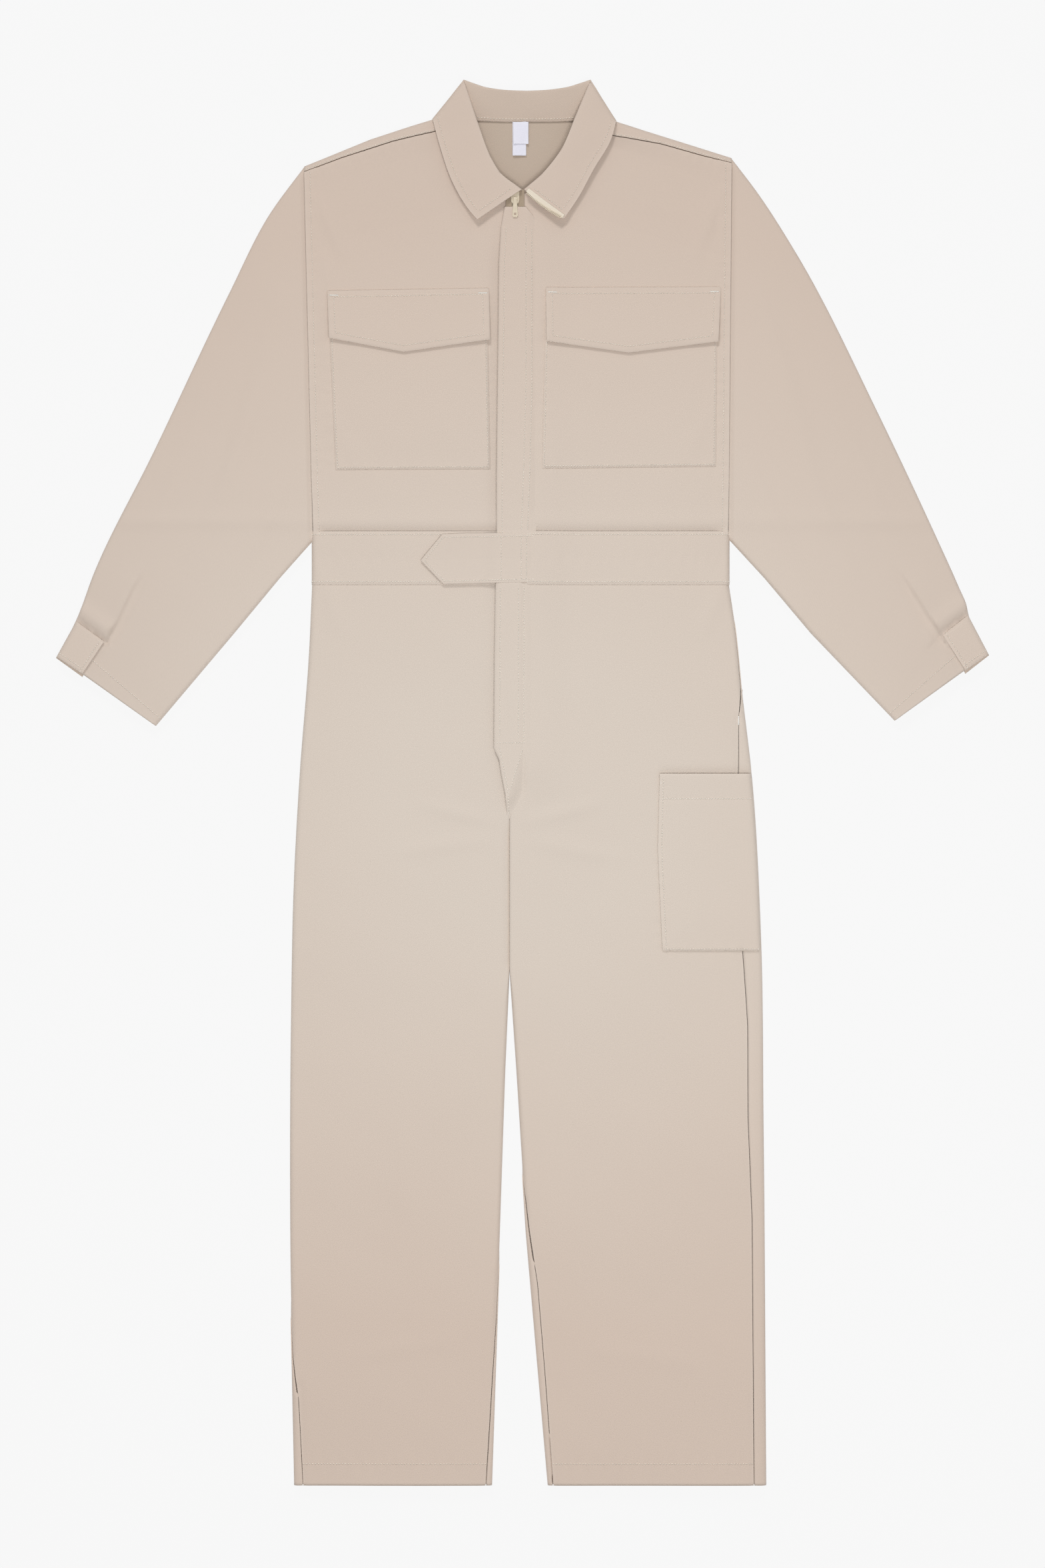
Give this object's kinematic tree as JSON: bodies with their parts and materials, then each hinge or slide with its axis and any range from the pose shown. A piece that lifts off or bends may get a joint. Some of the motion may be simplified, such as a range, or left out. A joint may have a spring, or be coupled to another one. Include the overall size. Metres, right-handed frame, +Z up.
{
  "type": "coverall",
  "caption": "Sand twill work coverall laid flat, with a hidden front zip, turned-down collar, flap chest pockets, waist tab and thigh tool pocket.",
  "frame": {"origin": "on the floor under the middle of the suit's outline as it lies flat on its back", "axes": "+Y from hem to collar, +X to the wearer's left, +Z up off the floor"},
  "size_m": [1.008, 1.518, 0.0194],
  "materials": {
    "twill": "matte",
    "twill_inside": "matte",
    "zip_tape": "matte",
    "zip_enamel": "satin",
    "snap_steel": "satin",
    "label_satin": "satin"
  },
  "bodies": {
    "garment": {"back_bodice": "twill", "back_leg_upper_left": "twill", "back_leg_upper_right": "twill", "back_waistband": "twill", "back_yoke": "twill", "brand_label": "label_satin", "care_label": "label_satin", "chest_pocket_left": "twill", "chest_pocket_right": "twill", "collar_fall_back": "twill", "collar_stand_back": "twill_inside", "collar_stand_left": "twill_inside", "collar_stand_right": "twill_inside", "front_bodice_left": "twill", "front_bodice_right": "twill", "front_leg_upper_left": "twill", "front_leg_upper_right": "twill", "hip_pocket_bag_left": "twill_inside", "hip_pocket_bag_right": "twill_inside", "tool_pocket": "twill", "waist_snap_socket": "snap_steel", "waistband_left": "twill", "waistband_right": "twill", "zip_bottom_stop": "zip_enamel", "zip_tape_left": "zip_tape", "zip_tape_right": "zip_tape", "zip_teeth_left": "zip_enamel", "zip_teeth_right": "zip_enamel"},
    "zip_slider": {"zip_slider": "zip_enamel"},
    "pull_tab": {"pull_tab": "zip_enamel"},
    "placket": {"placket": "twill"},
    "fly": {"fly": "twill"},
    "waist_tab": {"waist_tab": "twill", "waist_snap_stud": "snap_steel"},
    "chest_flap_right": {"chest_flap_right": "twill"},
    "collar_leaf_right": {"collar_leaf_right": "twill"},
    "sleeve_right": {"sleeve_back_right": "twill", "sleeve_front_right": "twill", "cuff_band_right": "twill"},
    "lower_leg_right": {"back_leg_lower_right": "twill", "front_leg_lower_right": "twill"},
    "chest_flap_left": {"chest_flap_left": "twill"},
    "collar_leaf_left": {"collar_leaf_left": "twill", "collar_zip_tape": "zip_tape"},
    "sleeve_left": {"sleeve_back_left": "twill", "sleeve_front_left": "twill", "cuff_band_left": "twill"},
    "lower_leg_left": {"back_leg_lower_left": "twill", "front_leg_lower_left": "twill"}
  },
  "joints": [
    {"name": "zip_slide", "type": "slide", "parent": "garment", "child": "zip_slider", "axis": [0, -1, 0], "range_m": [0, 0.628]},
    {"name": "pull_tab_swing", "type": "hinge", "parent": "zip_slider", "child": "pull_tab", "pos_m": [-0.008, 0.631, 0.01535], "axis": [-1, 0, 0], "range_deg": [0, 80]},
    {"name": "placket_lift", "type": "hinge", "parent": "garment", "child": "placket", "pos_m": [0.0115, 0.44, 0.0115], "axis": [0, 1, 0], "range_deg": [0, 90]},
    {"name": "fly_lift", "type": "hinge", "parent": "garment", "child": "fly", "pos_m": [0.004, 0.09, 0.0115], "axis": [0, 1, 0], "range_deg": [0, 90]},
    {"name": "waist_tab_lift", "type": "hinge", "parent": "garment", "child": "waist_tab", "pos_m": [0.0115, 0.243, 0.0115], "axis": [0, 1, 0], "range_deg": [0, 90]},
    {"name": "chest_flap_lift_right", "type": "hinge", "parent": "garment", "child": "chest_flap_right", "pos_m": [-0.1235, 0.532, 0.0128], "axis": [-1, 0, 0], "range_deg": [0, 160]},
    {"name": "chest_flap_lift_left", "type": "hinge", "parent": "garment", "child": "chest_flap_left", "pos_m": [0.1195, 0.532, 0.0128], "axis": [-1, 0, 0], "range_deg": [0, 160]},
    {"name": "collar_turn_right", "type": "hinge", "parent": "garment", "child": "collar_leaf_right", "pos_m": [-0.0321, 0.6997, 0.01835], "axis": [-0.468, 0.8838, 0], "range_deg": [0, 60]},
    {"name": "collar_turn_left", "type": "hinge", "parent": "garment", "child": "collar_leaf_left", "pos_m": [0.03745, 0.6997, 0.01835], "axis": [-0.5195, -0.8545, 0], "range_deg": [0, 60]},
    {"name": "sleeve_fold_right", "type": "hinge", "parent": "garment", "child": "sleeve_right", "pos_m": [-0.23175, 0.463, 0.017], "axis": [0.0208, -0.9998, 0], "range_deg": [-175, 0]},
    {"name": "sleeve_fold_left", "type": "hinge", "parent": "garment", "child": "sleeve_left", "pos_m": [0.22485, 0.4685, 0.024], "axis": [0.0055, 1, 0], "range_deg": [-165, 0]},
    {"name": "leg_fold_right", "type": "hinge", "parent": "garment", "child": "lower_leg_right", "pos_m": [-0.137, -0.4, 0.0132], "axis": [1, 0, 0], "range_deg": [-175, 0]},
    {"name": "leg_fold_left", "type": "hinge", "parent": "garment", "child": "lower_leg_left", "pos_m": [0.128, -0.4, 0.0132], "axis": [1, 0, 0], "range_deg": [-175, 0]}
  ]
}
